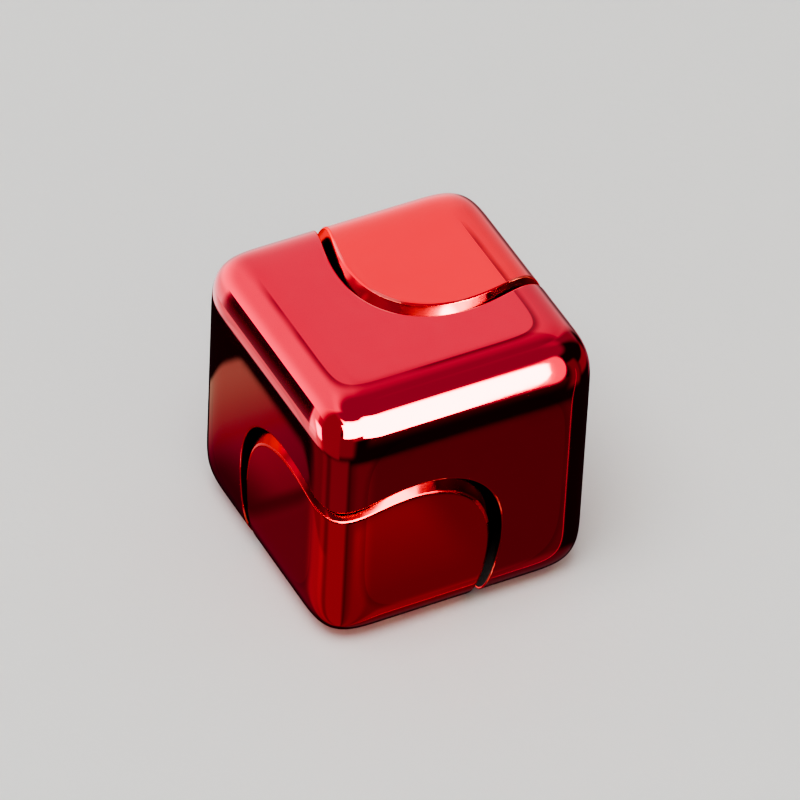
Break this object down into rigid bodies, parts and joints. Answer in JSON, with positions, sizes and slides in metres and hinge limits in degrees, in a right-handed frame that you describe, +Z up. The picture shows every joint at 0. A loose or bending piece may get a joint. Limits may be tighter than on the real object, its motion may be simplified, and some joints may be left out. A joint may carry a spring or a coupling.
{
  "type": "fidget cube spinner",
  "caption": "Palm-sized metal fidget cube: a zig-zag middle ring spins on a ball bearing about the body diagonal between two opposite corner caps.",
  "frame": {"origin": "centre of the bottom face, on the surface that the cube stands on", "axes": "+Z up; X and Y square to the side faces; the spin axis runs from the low corner at -X -Y to the high corner at +X +Y, along (1, 1, 1) through the cube's centre"},
  "size_m": [0.026, 0.026, 0.026],
  "materials": {
    "ring_plating": "polished",
    "cap_plating": "polished",
    "stud_steel": "satin",
    "spacer_brass": "satin",
    "race_steel": "satin",
    "shield_steel": "satin",
    "cage_steel": "satin",
    "ball_chrome": "polished"
  },
  "bodies": {
    "core": {"upper_cap": "cap_plating", "lower_cap": "cap_plating", "cap_stud": "stud_steel", "upper_spacer": "spacer_brass", "lower_spacer": "spacer_brass", "inner_race": "race_steel"},
    "spinner": {"spinner_body": "ring_plating", "outer_race": "race_steel", "upper_shield": "shield_steel", "lower_shield": "shield_steel"},
    "cage": {"upper_cage_half": "cage_steel", "lower_cage_half": "cage_steel", "cage_rivets": "cage_steel"},
    "ball_1": {"ball_1": "ball_chrome"},
    "ball_2": {"ball_2": "ball_chrome"},
    "ball_3": {"ball_3": "ball_chrome"},
    "ball_4": {"ball_4": "ball_chrome"},
    "ball_5": {"ball_5": "ball_chrome"},
    "ball_6": {"ball_6": "ball_chrome"},
    "ball_7": {"ball_7": "ball_chrome"}
  },
  "joints": [
    {"name": "spinner_spin", "type": "hinge", "parent": "core", "child": "spinner", "pos_m": [0, 0, 0.013], "axis": [0.5774, 0.5774, 0.5774], "continuous": true},
    {"name": "cage_spin", "type": "hinge", "parent": "core", "child": "cage", "pos_m": [0, 0, 0.013], "axis": [0.5774, 0.5774, 0.5774], "continuous": true},
    {"name": "ball_1_spin", "type": "hinge", "parent": "cage", "child": "ball_1", "pos_m": [-0.00224, 0.00606, 0.00918], "axis": [0.5774, 0.5774, 0.5774], "continuous": true},
    {"name": "ball_2_spin", "type": "hinge", "parent": "cage", "child": "ball_2", "pos_m": [-0.00585, 0.00449, 0.01436], "axis": [0.5774, 0.5774, 0.5774], "continuous": true},
    {"name": "ball_3_spin", "type": "hinge", "parent": "cage", "child": "ball_3", "pos_m": [-0.00506, -0.00046, 0.01852], "axis": [0.5774, 0.5774, 0.5774], "continuous": true},
    {"name": "ball_4_spin", "type": "hinge", "parent": "cage", "child": "ball_4", "pos_m": [-0.00046, -0.00506, 0.01852], "axis": [0.5774, 0.5774, 0.5774], "continuous": true},
    {"name": "ball_5_spin", "type": "hinge", "parent": "cage", "child": "ball_5", "pos_m": [0.00449, -0.00585, 0.01436], "axis": [0.5774, 0.5774, 0.5774], "continuous": true},
    {"name": "ball_6_spin", "type": "hinge", "parent": "cage", "child": "ball_6", "pos_m": [0.00606, -0.00224, 0.00918], "axis": [0.5774, 0.5774, 0.5774], "continuous": true},
    {"name": "ball_7_spin", "type": "hinge", "parent": "cage", "child": "ball_7", "pos_m": [0.00306, 0.00306, 0.00688], "axis": [0.5774, 0.5774, 0.5774], "continuous": true}
  ],
  "couplings": [
    {"joint": "cage_spin", "follows": "spinner_spin", "ratio": 0.6323},
    {"joint": "ball_1_spin", "follows": "spinner_spin", "ratio": 1.7568},
    {"joint": "ball_2_spin", "follows": "spinner_spin", "ratio": 1.7568},
    {"joint": "ball_3_spin", "follows": "spinner_spin", "ratio": 1.7568},
    {"joint": "ball_4_spin", "follows": "spinner_spin", "ratio": 1.7568},
    {"joint": "ball_5_spin", "follows": "spinner_spin", "ratio": 1.7568},
    {"joint": "ball_6_spin", "follows": "spinner_spin", "ratio": 1.7568},
    {"joint": "ball_7_spin", "follows": "spinner_spin", "ratio": 1.7568}
  ]
}
